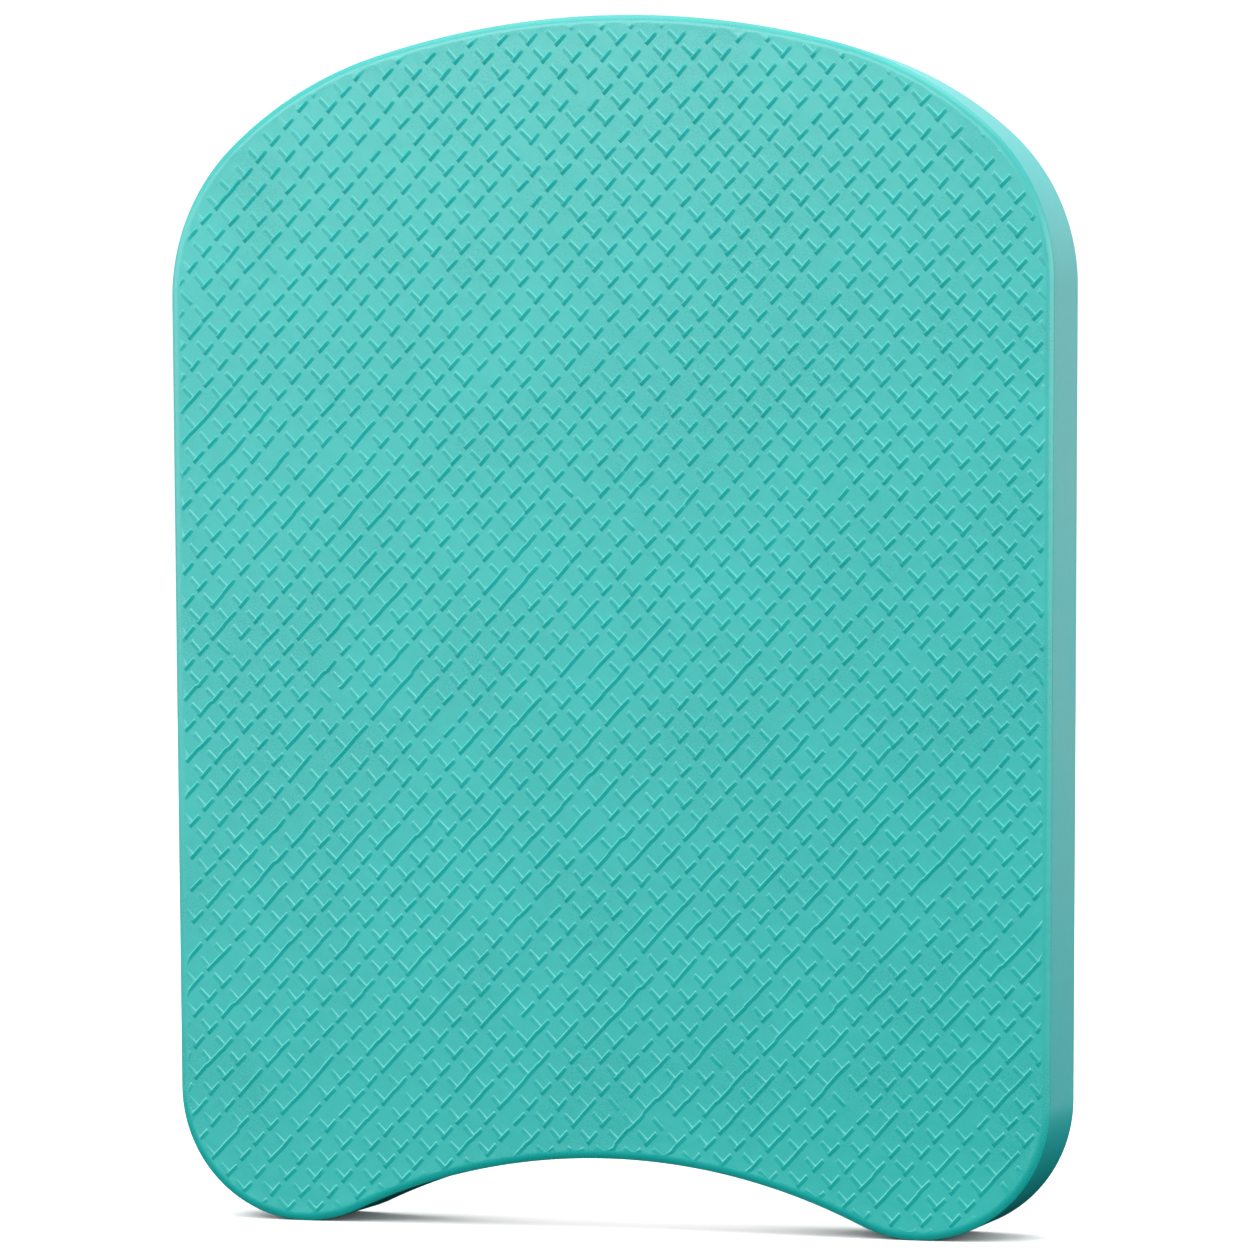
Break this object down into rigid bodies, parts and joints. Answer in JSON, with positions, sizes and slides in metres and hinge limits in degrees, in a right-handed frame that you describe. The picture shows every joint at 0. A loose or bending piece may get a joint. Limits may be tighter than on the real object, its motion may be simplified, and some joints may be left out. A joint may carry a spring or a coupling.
{
  "type": "kickboard float",
  "caption": "Foam swimming kickboard with an arched nose, slightly tapered sides, embossed faces and a concave body notch in the tail.",
  "frame": {"origin": "midway between the two tail lobes, on the surface that the board stands on", "axes": "+Z from the tail to the nose, +X across the board, -Y out of the front face"},
  "size_m": [0.291, 0.033, 0.381],
  "materials": {
    "core_foam": "cut closed-cell foam, matte, slightly paler than the faces",
    "skin_foam": "turquoise closed-cell foam skin, satin-matte, embossed with small raised dashes"
  },
  "bodies": {
    "root": {"foam_core": "core_foam", "front_skin": "skin_foam", "back_skin": "skin_foam"}
  },
  "joints": []
}
